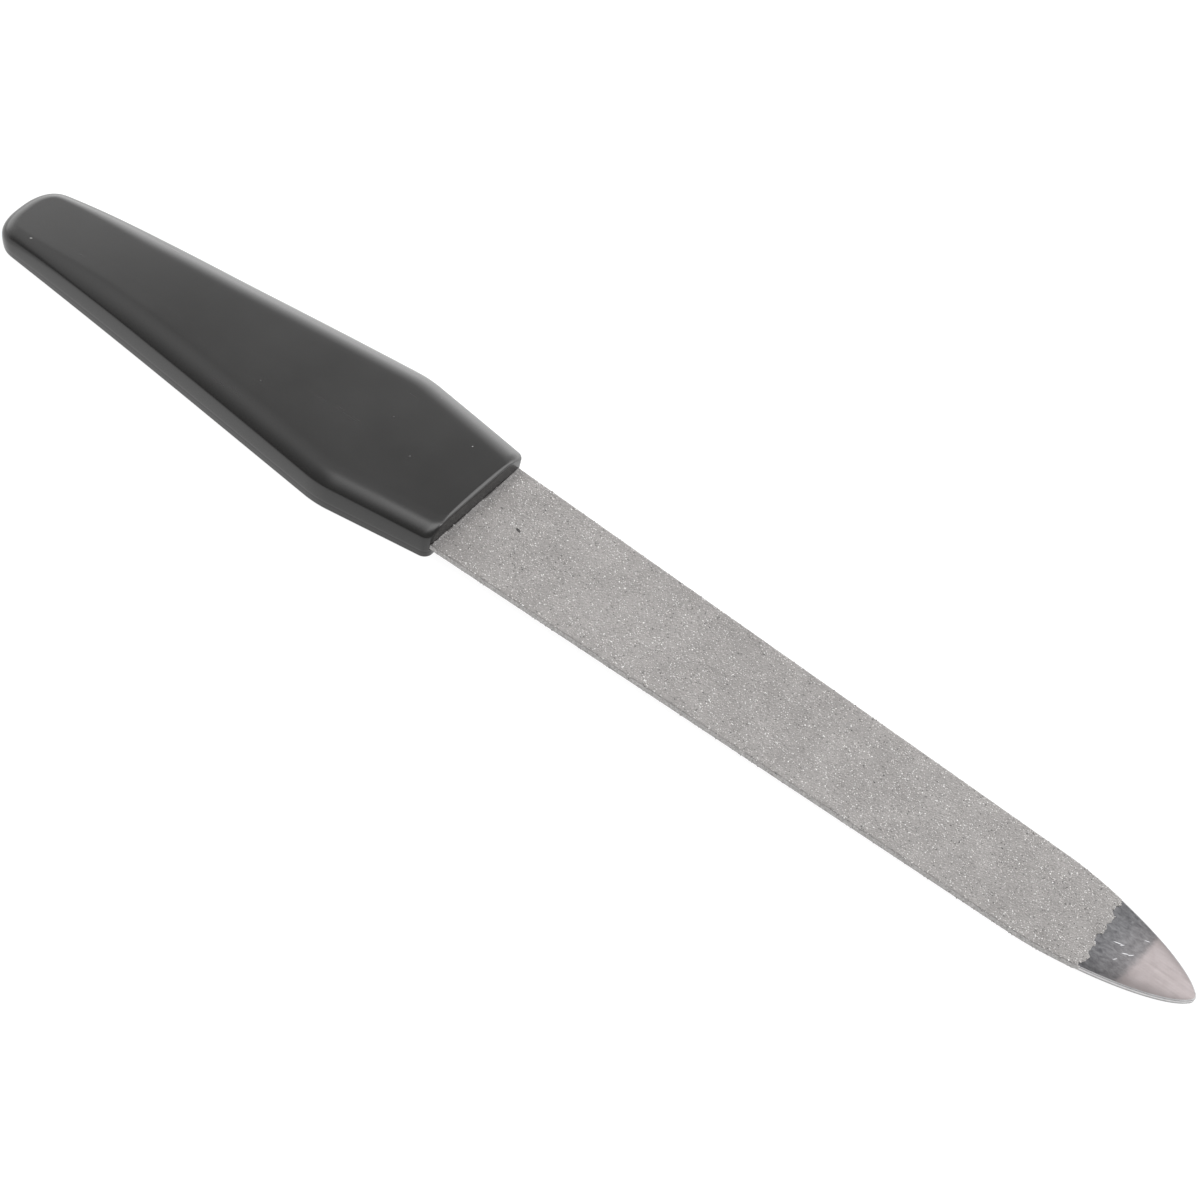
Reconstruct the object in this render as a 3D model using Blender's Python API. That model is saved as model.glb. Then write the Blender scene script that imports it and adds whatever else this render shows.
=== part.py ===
"""Metal nail file: a thin steel blade with an abrasive coating on each face,
whose tang is held in a one-piece moulded plastic handle.

Frame: +X runs along the file from the handle's butt to the blade's tip,
+Z is up, and the origin is at the middle of the bounding box's underside.
The handle's flat underside lies on z = 0.
"""
import math

import bmesh
import bpy
from mathutils import Vector

MM = 0.001

# ---------------------------------------------------------------- dimensions
LENGTH = 152.4          # overall, a nominal six inch file

HANDLE_LENGTH = 63.1    # butt to mouth
HANDLE_THICK = 5.0      # at the fullest station
HANDLE_CROWN = 0.65     # how much thinner the ends are than the middle
HANDLE_CROWN_AT = 35.0  # fullest station, from the butt
CROSS_CROWN = 0.15      # how much lower the top is at the sides than on its middle line
BUTT_HALF = 5.15        # half width 8 mm from the butt
BUTT_DEPTH = 3.4        # the butt's end is half a superellipse, this deep
BUTT_POWER = 2.5
BUTT_FALL = 1.15        # how far the top falls at the butt, beyond the crown
BUTT_FALL_LENGTH = 24.0
BULGE = 0.40            # how far the sides swell outside a straight line, towards the butt
BULGE_LENGTH = 32.0
SHOULDER_AT = 49.4      # widest station, from the butt
SHOULDER_HALF = 10.16   # half width where the two side lines would meet
SHOULDER_RADIUS = 12.0  # plan radius that softens the shoulder
MOUTH_HALF = 8.22       # half width at the mouth
MOUTH_RADIUS = 1.05     # plan radius of the mouth's corners
MOUTH_SKEW = 0.045      # how far the mouth's face leans back on the -Y side, per mm

# cross section: flat underside, upright sides, and a top that rolls down to
# the sides on a wide arc and meets them at a crisp corner
PILLOW_RADIUS = 4.5
PILLOW_TILT = 40.0      # slope of the roll where it meets the side, degrees
BUTT_RADIUS = 2.0       # at the butt the roll is tighter and less steep
BUTT_RADIUS_TO = 16.0
BUTT_TILT = 31.0
BUTT_TILT_TO = 4.0      # station from which it steepens
ROLL_FULL_AT = 28.0     # station from which the roll has its full width
CORNER_RADIUS = 0.35
BUTT_CORNER = 1.6       # the corner is softer at the butt
BUTT_CORNER_TO = 16.0
FRONT_RADIUS = 0.4      # top edge of the mouth's face
BARREL = 0.2            # how far the sides draw in towards the bottom
SOLE_RADIUS = 0.25      # bottom edges

BLADE_THICK = 0.6
BLADE_MID_Z = 1.8       # height of the blade's middle plane, inside the handle
BLADE_MOUTH_HALF = 7.6  # half width where the blade leaves the handle
BLADE_END_HALF = 5.9    # half width where the point begins
POINT_AT = 134.4        # station where the point begins, from the butt
POINT_POWER = 1.52      # the point's outline is END_HALF * (1 - t**a)**b
POINT_ROUND = 0.615
TIP_RADIUS = 0.8        # the rounded end of the point
BLADE_TURN_AT = 60.0    # station that the blade is turned about
BLADE_TURN_DEG = -0.92  # in plan, off the handle's centre line
BLADE_DIP_DEG = 0.9     # downwards, so that the tip meets the handle's ground

SHOULDER_X = 60.2       # the full width ends here, inside the mouth
TANG_ROOT_HALF = 4.3
TANG_END_HALF = 3.4
TANG_END_X = 23.0
TANG_RADIUS = 2.4       # plan radius of the tang's end
TANG_HOLE_AT = 36.0
TANG_HOLE_RADIUS = 1.6
SOCKET_GAP = 0.2        # clearance between the steel and the plastic

COAT_THICK = 0.13
COAT_GAP = 0.02         # bond line between the steel and the grit layer
COAT_START = 62.2       # just inside the mouth
COAT_END = 141.4        # the steel point is bare past this station
COAT_RAGGED = 0.42      # depth of the teeth of the coating's front edge
COAT_SKEW = 0.03        # how far that edge leans towards the tip on the -Y side, per mm
COAT_INSET = 0.12       # how far the layer stays inside the blade's outline

ORIGIN_X = LENGTH / 2   # the frame's origin, from the butt

CORNER_STEPS = (1.0, 0.5)              # facets of the crisp corner, side to roll
ROLL_STEPS = (1.0, 0.75, 0.5, 0.25, 0.0)   # facets of the roll, corner to top
SIDE_STEPS = (0.5,)                    # facets up the side, as shares of it
SOLE_TILTS = (0.0, 45.0, 90.0)         # facets of the bottom edges, degrees
TOP_PARTS = 4                          # facets across the top


# ------------------------------------------------------------------- helpers
def clear_scene():
    for ob in list(bpy.data.objects):
        bpy.data.objects.remove(ob, do_unlink=True)


def material(name, colour, roughness, metallic):
    mat = bpy.data.materials.new(name)
    mat.use_nodes = True
    shader = mat.node_tree.nodes["Principled BSDF"]
    shader.inputs["Base Color"].default_value = (*colour, 1.0)
    shader.inputs["Roughness"].default_value = roughness
    shader.inputs["Metallic"].default_value = metallic
    return mat


def add_object(name, bm, mat=None, parent=None):
    bmesh.ops.recalc_face_normals(bm, faces=bm.faces)
    mesh = bpy.data.meshes.new(name)
    bm.to_mesh(mesh)
    bm.free()
    ob = bpy.data.objects.new(name, mesh)
    bpy.context.scene.collection.objects.link(ob)
    if mat is not None:
        mesh.materials.append(mat)
    if parent is not None:
        ob.parent = parent
    return ob


def smooth(ob, degrees=32.0):
    ob.data.shade_smooth()
    ob.data.set_sharp_from_angle(angle=math.radians(degrees))


def as_cutter(ob):
    ob.hide_render = True
    ob.display_type = "WIRE"


def boolean(ob, other, operation):
    mod = ob.modifiers.new(operation.title(), "BOOLEAN")
    mod.operation = operation
    mod.solver = "EXACT"
    mod.object = other


def plate(outline, z_low, z_high):
    """A flat plate from a closed plan outline in mm."""
    bm = bmesh.new()
    low = [bm.verts.new((x * MM, y * MM, z_low * MM)) for x, y in outline]
    face = bm.faces.new(low)
    made = bmesh.ops.extrude_face_region(bm, geom=[face])
    verts = [v for v in made["geom"] if isinstance(v, bmesh.types.BMVert)]
    bmesh.ops.translate(bm, vec=Vector((0, 0, (z_high - z_low) * MM)), verts=verts)
    return bm


def cylinder(radius, z_low, z_high, x, segments=32):
    bm = bmesh.new()
    bmesh.ops.create_cone(
        bm, cap_ends=True, segments=segments, radius1=radius * MM, radius2=radius * MM,
        depth=(z_high - z_low) * MM)
    bmesh.ops.translate(bm, vec=Vector((x * MM, 0, (z_low + z_high) / 2 * MM)), verts=bm.verts)
    return bm


def arc(cx, cy, radius, start, end, steps):
    return [(cx + radius * math.cos(start + (end - start) * i / steps),
             cy + radius * math.sin(start + (end - start) * i / steps)) for i in range(steps + 1)]


# -------------------------------------------------------------------- handle
def side_slope():
    return (SHOULDER_HALF - BUTT_HALF) / (SHOULDER_AT - 8.0)


def side_line(x):
    """Half width of the handle between the butt and the shoulder."""
    swell = BULGE * max(0.0, 1 - x / BULGE_LENGTH) ** 2
    return BUTT_HALF + side_slope() * (x - 8.0) + swell


def butt_point(q):
    """A point of the butt's end, from q = 0 on the middle line to a quarter
    turn where it runs into the side line."""
    x = BUTT_DEPTH * (1 - math.cos(q) ** (2 / BUTT_POWER))
    return x, side_line(x) * math.sin(q) ** (2 / BUTT_POWER)


def ease(t):
    t = min(max(t, 0.0), 1.0)
    return t * t * (3 - 2 * t)


def roll(x):
    """Radius of the roll at a station, and its slope at the side, in radians."""
    radius = BUTT_RADIUS + (PILLOW_RADIUS - BUTT_RADIUS) * ease(x / BUTT_RADIUS_TO)
    along = (x - BUTT_TILT_TO) / (ROLL_FULL_AT - BUTT_TILT_TO)
    tilt = BUTT_TILT + (PILLOW_TILT - BUTT_TILT) * ease(along)
    return radius, math.radians(tilt)


def corner_radius(x):
    return CORNER_RADIUS + (BUTT_CORNER - CORNER_RADIUS) * max(0.0, 1 - x / BUTT_CORNER_TO) ** 2


def corner_ring(step):
    """Inset and drop, at any station, of a ring on the corner's arc: step 1
    is its lower end, at the side, and 0 its upper end, at the roll."""
    def inset(x):
        tilt = roll(x)[1]
        return corner_radius(x) * (1 - math.sin(tilt + (math.pi / 2 - tilt) * step))

    def drop(x):
        radius, tilt = roll(x)
        a = tilt + (math.pi / 2 - tilt) * step
        return radius * (1 - math.cos(tilt)) + corner_radius(x) * (math.cos(tilt) - math.cos(a))
    return inset, drop


def roll_ring(step):
    """The same for a ring on the roll: step 1 at the corner, 0 at the top."""
    def inset(x):
        radius, tilt = roll(x)
        return corner_radius(x) * (1 - math.sin(tilt)) + radius * (math.sin(tilt) - math.sin(tilt * step))

    def drop(x):
        radius, tilt = roll(x)
        return radius * (1 - math.cos(tilt * step))
    return inset, drop


def front_inset(drop):
    """How far the mouth's face is drawn in at a depth below the top."""
    up = max(FRONT_RADIUS - drop, 0.0)
    return FRONT_RADIUS - math.sqrt(FRONT_RADIUS ** 2 - up ** 2)


def half_ring(inset, front):
    """Half of the handle's plan outline (y > 0) from the butt's end to the
    mouth, as (x, y, station), drawn in by an inset that depends on the
    station, and by another one at the mouth's face."""
    slope = side_slope()
    lean = math.atan(slope)
    fall = math.atan((SHOULDER_HALF - MOUTH_HALF) / (HANDLE_LENGTH - SHOULDER_AT))
    ring = []
    step = 0.0005
    for i in range(15):
        q = math.pi / 2 * (i + 0.5) / 15
        x, y = butt_point(q)
        x2, y2 = butt_point(q + step)
        size = math.hypot(x2 - x, y2 - y)
        ring.append((x + (y2 - y) / size * inset(x), y - (x2 - x) / size * inset(x), x))
    for x in (BUTT_DEPTH + 0.7, 6.0, 8.0, 10.0, 12.5, 16.0, 20.0, 24.0, 28.0, 32.0):
        ring.append((x + math.sin(lean) * inset(x), side_line(x) - math.cos(lean) * inset(x), x))
    # the shoulder: an arc tangent to both side lines
    turn = lean + fall
    normal = math.pi / 2 + lean
    back = SHOULDER_RADIUS * math.tan(turn / 2)
    cx = SHOULDER_AT - back * math.cos(lean) + SHOULDER_RADIUS * math.sin(lean)
    cy = SHOULDER_HALF - back * math.sin(lean) - SHOULDER_RADIUS * math.cos(lean)
    bend = arc(cx, cy, SHOULDER_RADIUS - inset(SHOULDER_AT), normal, normal - turn, 6)
    ring += [(x, y, x) for x, y in between(ring[-1], bend[0], 4) + bend]
    # the mouth's corner: between the drawn-in side and the drawn-in face
    face = HANDLE_LENGTH - front
    ccx = face - MOUTH_RADIUS
    ccy = ring[-1][1] - (ccx - ring[-1][0]) * math.tan(fall) - MOUTH_RADIUS / math.cos(fall)
    corner = arc(ccx, ccy, MOUTH_RADIUS, math.pi / 2 - fall, 0.0, 6)
    ring += [(x, y, x) for x, y in between(ring[-1], corner[0], 5) + corner]
    return ring


def between(a, b, parts):
    return [(a[0] + (b[0] - a[0]) * i / parts, a[1] + (b[1] - a[1]) * i / parts)
            for i in range(1, parts)]


def crown(x, y):
    """Height of the handle's top, before its sides roll down."""
    reach = max(HANDLE_CROWN_AT, HANDLE_LENGTH - HANDLE_CROWN_AT)
    height = HANDLE_THICK - HANDLE_CROWN * ((x - HANDLE_CROWN_AT) / reach) ** 2
    height -= CROSS_CROWN * (y / SHOULDER_HALF) ** 2
    return height - BUTT_FALL * max(0.0, 1 - x / BUTT_FALL_LENGTH) ** 2


def skew(x, y):
    """How far a point is moved along the handle, so that the mouth's face
    comes out square to the blade and a little more."""
    return MOUTH_SKEW * y * ease((x - SHOULDER_AT) / (HANDLE_LENGTH - SHOULDER_AT))


def top_height(x, y):
    """Height of the top at a point of the finished handle."""
    before = x
    for _ in range(5):
        before = x - skew(before, y)
    return crown(before, y)


def side_height(x):
    """Height of the side at a station, up to the corner's arc."""
    return crown(x, min(side_line(x), SHOULDER_HALF)) - corner_ring(1.0)[1](x)


def handle_rings():
    """Closed rings of points in mm, from the underside up to the top."""
    halves = []
    for tilt in SOLE_TILTS:
        a = math.radians(tilt)
        inset = SOLE_RADIUS * (1 - math.sin(a))
        height = SOLE_RADIUS * (1 - math.cos(a))
        halves.append([(x, y, height) for x, y, s in half_ring(lambda s: BARREL + inset, inset)])
    for step in SIDE_STEPS:
        halves.append([(x, y, SOLE_RADIUS + step * (side_height(s) - SOLE_RADIUS))
                       for x, y, s in half_ring(lambda s: BARREL * (1 - step) ** 2, 0.0)])
    levels = [corner_ring(step) for step in CORNER_STEPS] + [roll_ring(step) for step in ROLL_STEPS]
    for inset, drop in levels:
        front = front_inset(drop(ROLL_FULL_AT))
        halves.append([(x, y, crown(x, y) - drop(s)) for x, y, s in half_ring(inset, front)])
    rings = [half + [(x, -y, z) for x, y, z in reversed(half)] for half in halves]
    return [[(x + skew(x, y), y, z) for x, y, z in ring] for ring in rings]


def make_handle(mat):
    bm = bmesh.new()
    rings = [[bm.verts.new((x * MM, y * MM, z * MM)) for x, y, z in ring] for ring in handle_rings()]
    count = len(rings[0])
    # the top: rows of points across it, on the crown
    top = rings[-1]
    rows = []
    for i in range(count // 2):
        a, b = top[i].co, top[count - 1 - i].co
        row = [top[i]]
        for k in range(1, TOP_PARTS):
            co = a.lerp(b, k / TOP_PARTS)
            co.z = top_height(co.x / MM, co.y / MM) * MM
            row.append(bm.verts.new(co))
        rows.append(row + [top[count - 1 - i]])
    for a, b in zip(rows, rows[1:]):
        for k in range(TOP_PARTS):
            bm.faces.new((a[k], b[k], b[k + 1], a[k + 1]))
    for a, b in zip(rings, rings[1:]):
        for i in range(count):
            j = (i + 1) % count
            across = []
            if b is top and i == count - 1:
                across = rows[0][1:-1]
            elif b is top and i == count // 2 - 1:
                across = rows[-1][-2:0:-1]
            bm.faces.new([a[i], a[j], b[j]] + across + [b[i]])
    # the underside: one flat face
    bm.faces.new(rings[0])
    bmesh.ops.translate(bm, vec=Vector((-ORIGIN_X * MM, 0, 0)), verts=bm.verts)
    return add_object("handle", bm, mat)


# --------------------------------------------------------------------- blade
def tip_station():
    """Local station of the tip, so that the turned blade ends at LENGTH."""
    turn = math.cos(math.radians(BLADE_TURN_DEG)) * math.cos(math.radians(BLADE_DIP_DEG))
    return BLADE_TURN_AT + (LENGTH - BLADE_TURN_AT - TIP_RADIUS) / turn + TIP_RADIUS


def blade_half(x):
    """Half width of the visible blade at a station."""
    if x <= POINT_AT:
        slope = (BLADE_END_HALF - BLADE_MOUTH_HALF) / (POINT_AT - HANDLE_LENGTH)
        return BLADE_MOUTH_HALF + slope * (x - HANDLE_LENGTH)
    end = tip_station()
    t = min((x - POINT_AT) / (end - POINT_AT), 1.0)
    width = BLADE_END_HALF * (1 - t ** POINT_POWER) ** POINT_ROUND
    from_centre = x - (end - TIP_RADIUS)
    if abs(from_centre) < TIP_RADIUS:
        width = max(width, math.sqrt(max(TIP_RADIUS ** 2 - from_centre ** 2, 0.0)))
    return width


def mirrored(half_outline):
    """Closes a half outline that runs from -X to +X on the +Y side."""
    other = [(x, -y) for x, y in reversed(half_outline) if y > 1e-6]
    return half_outline + other


def tang_outline(grow):
    """Half outline of the tang from its end to the shoulder, grown sideways
    and endwards by a clearance."""
    end_x = TANG_END_X - grow
    r = TANG_RADIUS + grow
    end_half = TANG_END_HALF + grow
    pts = [(end_x, 0.0)] + arc(end_x + r, end_half - r, r, math.pi, math.pi / 2, 6)
    pts.append((SHOULDER_X - grow - 1.0, TANG_ROOT_HALF + grow))
    pts.append((SHOULDER_X - grow, TANG_ROOT_HALF + grow + 0.9))
    return pts


def make_blade(mat, parent):
    half = tang_outline(0.0)
    corner = blade_half(SHOULDER_X)
    half.append((SHOULDER_X, corner - 0.6))
    half += arc(SHOULDER_X + 0.6, corner - 0.6, 0.6, math.pi, math.pi / 2, 4)[1:]
    end = tip_station()
    for i in range(1, 9):
        half.append((SHOULDER_X + 0.6 + (POINT_AT - SHOULDER_X - 0.6) * i / 8, 0))
    for i in range(1, 17):
        half.append((POINT_AT + (end - TIP_RADIUS - POINT_AT) * i / 16, 0))
    for i in range(1, 9):
        a = math.pi / 2 * (1 - i / 8)
        half.append((end - TIP_RADIUS + TIP_RADIUS * math.cos(a), 0))
    half = [(x, y if y or x < SHOULDER_X else blade_half(x)) for x, y in half]
    half[-1] = (end, 0.0)
    outline = [(x - BLADE_TURN_AT, y) for x, y in mirrored(half)]
    bm = plate(outline, -BLADE_THICK / 2, BLADE_THICK / 2)
    blade = add_object("blade", bm, mat, parent)
    hole = add_object("cut_tang_hole", cylinder(
        TANG_HOLE_RADIUS, -2.0, 2.0, TANG_HOLE_AT - BLADE_TURN_AT), parent=parent)
    as_cutter(hole)
    boolean(blade, hole, "DIFFERENCE")
    return blade


def make_socket_cutter(parent):
    half = tang_outline(SOCKET_GAP)
    corner = blade_half(SHOULDER_X) + SOCKET_GAP
    half.append((SHOULDER_X - SOCKET_GAP, corner))
    half.append((HANDLE_LENGTH + 4.0, corner))
    half.append((HANDLE_LENGTH + 4.0, 0.0))
    outline = [(x - BLADE_TURN_AT, y) for x, y in mirrored(half)]
    reach = BLADE_THICK / 2 + SOCKET_GAP
    bm = plate(outline, -reach, reach)
    cutter = add_object("cut_socket", bm, parent=parent)
    as_cutter(cutter)
    return cutter


def make_peg(parent):
    """Plastic that fills the tang's hole and locks it."""
    bm = cylinder(TANG_HOLE_RADIUS - SOCKET_GAP, -1.1, 1.1, TANG_HOLE_AT - BLADE_TURN_AT, 24)
    peg = add_object("add_tang_peg", bm, parent=parent)
    as_cutter(peg)
    return peg


# ------------------------------------------------------------------ coatings
def ragged(y, phase):
    """Where the coating's front edge ends at a distance from the centre line."""
    wave = math.sin(3.1 * y + phase) * 0.4 + math.sin(7.3 * y + 2.1 * phase) * 0.2
    wave += math.sin(1.3 * y - phase) * 0.4
    return COAT_END - COAT_SKEW * y + COAT_RAGGED * wave


def make_coat(name, mat, parent, side, phase):
    near, far = [], []
    stations = 9
    last = COAT_END - COAT_RAGGED * 1.2 - COAT_SKEW * BLADE_END_HALF
    for i in range(stations + 1):
        x = COAT_START + (last - COAT_START) * i / stations
        if x < POINT_AT < COAT_START + (last - COAT_START) * (i + 1) / stations:
            x = POINT_AT
        w = blade_half(x) - COAT_INSET
        near.append((x, -w))
        far.append((x, w))
    edge = blade_half(last) - COAT_INSET
    teeth = 34
    front = []
    for i in range(1, teeth):
        y = -edge + 2 * edge * i / teeth
        x = ragged(y, phase)
        limit = blade_half(x) - COAT_INSET
        y = max(-limit, min(limit, y))
        front.append((x, y))
    outline = near + front + list(reversed(far))
    outline = [(x - BLADE_TURN_AT, y) for x, y in outline]
    face = side * (BLADE_THICK / 2 + COAT_GAP)
    other = face + side * COAT_THICK
    bm = plate(outline, min(face, other), max(face, other))
    return add_object(name, bm, mat, parent)


# --------------------------------------------------------------------- build
def main():
    clear_scene()
    plastic = material("handle_plastic", (0.070, 0.068, 0.067), 0.42, 0.0)
    steel = material("blade_steel", (0.46, 0.45, 0.46), 0.36, 1.0)
    grit_top = material("grit_top", (0.42, 0.40, 0.39), 0.72, 0.0)
    grit_under = material("grit_underside", (0.40, 0.385, 0.375), 0.74, 0.0)

    axis = bpy.data.objects.new("blade_axis", None)
    bpy.context.scene.collection.objects.link(axis)
    axis.location = ((BLADE_TURN_AT - ORIGIN_X) * MM, 0, BLADE_MID_Z * MM)
    axis.rotation_euler = (0, math.radians(BLADE_DIP_DEG), math.radians(BLADE_TURN_DEG))

    handle = make_handle(plastic)
    boolean(handle, make_socket_cutter(axis), "DIFFERENCE")
    boolean(handle, make_peg(axis), "UNION")
    blade = make_blade(steel, axis)
    top = make_coat("grit_coating_top", grit_top, axis, 1, 0.4)
    under = make_coat("grit_coating_underside", grit_under, axis, -1, 1.9)
    for ob in (handle, blade, top, under):
        smooth(ob)
    bpy.context.view_layer.update()


main()
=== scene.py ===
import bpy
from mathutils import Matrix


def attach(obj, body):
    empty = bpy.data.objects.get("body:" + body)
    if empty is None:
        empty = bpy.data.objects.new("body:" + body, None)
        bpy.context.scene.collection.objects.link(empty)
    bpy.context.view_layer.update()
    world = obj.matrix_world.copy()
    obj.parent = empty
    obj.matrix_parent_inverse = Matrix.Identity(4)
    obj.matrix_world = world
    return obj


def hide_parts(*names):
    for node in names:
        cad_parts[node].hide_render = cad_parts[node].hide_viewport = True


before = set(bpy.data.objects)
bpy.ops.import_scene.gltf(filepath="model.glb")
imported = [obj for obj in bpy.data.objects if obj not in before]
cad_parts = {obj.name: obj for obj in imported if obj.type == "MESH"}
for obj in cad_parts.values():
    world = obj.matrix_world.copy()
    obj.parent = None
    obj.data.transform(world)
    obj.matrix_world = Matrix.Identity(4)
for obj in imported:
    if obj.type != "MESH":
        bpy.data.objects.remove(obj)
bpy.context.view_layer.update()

import math

import bmesh
import bpy
import numpy as np
from mathutils import Matrix, Vector

MM = 0.001

# ------------------------------------------------------------ the object, in mm
# Stations are measured from the handle's butt, and LENGTH / 2 is the origin.
LENGTH = 152.4
ORIGIN_X = LENGTH / 2

HANDLE_LENGTH = 63.1
HANDLE_THICK = 5.0
HANDLE_CROWN = 0.65
HANDLE_CROWN_AT = 35.0
CROSS_CROWN = 0.15
BUTT_HALF = 5.15
BUTT_DEPTH = 3.4
BUTT_POWER = 2.5
BUTT_FALL = 1.15
BUTT_FALL_LENGTH = 24.0
BULGE = 0.40
BULGE_LENGTH = 32.0
SHOULDER_AT = 49.4
SHOULDER_HALF = 10.16
SHOULDER_RADIUS = 12.0
MOUTH_HALF = 8.22
MOUTH_RADIUS = 1.05
MOUTH_SKEW = 0.045
PILLOW_RADIUS = 4.5
PILLOW_TILT = 40.0
BUTT_RADIUS = 2.0
BUTT_RADIUS_TO = 16.0
BUTT_TILT = 31.0
BUTT_TILT_TO = 4.0
ROLL_FULL_AT = 28.0
CORNER_RADIUS = 0.35
BUTT_CORNER = 1.6
BUTT_CORNER_TO = 16.0
FRONT_RADIUS = 0.4
BARREL = 0.2
SOLE_RADIUS = 0.25
SKIN = 0.008            # how far the finer mesh stays inside the faceted one

BLADE_THICK = 0.6
BLADE_MID_Z = 1.8
BLADE_MOUTH_HALF = 7.6
BLADE_END_HALF = 5.9
POINT_AT = 134.4
POINT_POWER = 1.52
POINT_ROUND = 0.615
TIP_RADIUS = 0.8
BLADE_TURN_AT = 60.0
BLADE_TURN = math.radians(-0.92)
BLADE_DIP = math.radians(0.9)
SHOULDER_X = 60.2
TANG_ROOT_HALF = 4.3
TANG_END_HALF = 3.4
TANG_END_X = 23.0
TANG_RADIUS = 2.4
TANG_HOLE_AT = 36.0
TANG_HOLE_RADIUS = 1.6
SOCKET_GAP = 0.12

COAT_START = 62.2
COAT_END = 141.4
COAT_RAGGED = 0.42
COAT_INSET = 0.03
COAT_SKEW = 0.03
BED_THICK = 0.075       # the binder that the crystals stand in
COAT_THICK = 0.14       # bed and crystals together
BOND = 0.006
FILLET = 0.20           # how high the grit climbs against the handle
GRAIN_PITCH = 0.232
GRAIN_SIZE = 0.098      # half width of a middling grain
BEVEL_FROM = 140.9      # the bare point's edges are dressed with a wider bevel

BLADE_MATRIX = (Matrix.Translation(((BLADE_TURN_AT - ORIGIN_X) * MM, 0, BLADE_MID_Z * MM))
                @ Matrix.Rotation(BLADE_TURN, 4, "Z") @ Matrix.Rotation(BLADE_DIP, 4, "Y"))


# ------------------------------------------------------------------- helpers
def new_object(name, bm, mats, smooth_to=None):
    mesh = bpy.data.meshes.new(name)
    bm.normal_update()
    bm.to_mesh(mesh)
    bm.free()
    ob = bpy.data.objects.new(name, mesh)
    bpy.context.scene.collection.objects.link(ob)
    for mat in mats:
        mesh.materials.append(mat)
    if smooth_to is not None:
        mesh.shade_smooth()
        mesh.set_sharp_from_angle(angle=math.radians(smooth_to))
    return ob


def arc(cx, cy, radius, start, end, steps):
    return [(cx + radius * math.cos(start + (end - start) * i / steps),
             cy + radius * math.sin(start + (end - start) * i / steps)) for i in range(steps + 1)]


def between(a, b, parts):
    return [(a[0] + (b[0] - a[0]) * i / parts, a[1] + (b[1] - a[1]) * i / parts)
            for i in range(1, parts)]


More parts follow.
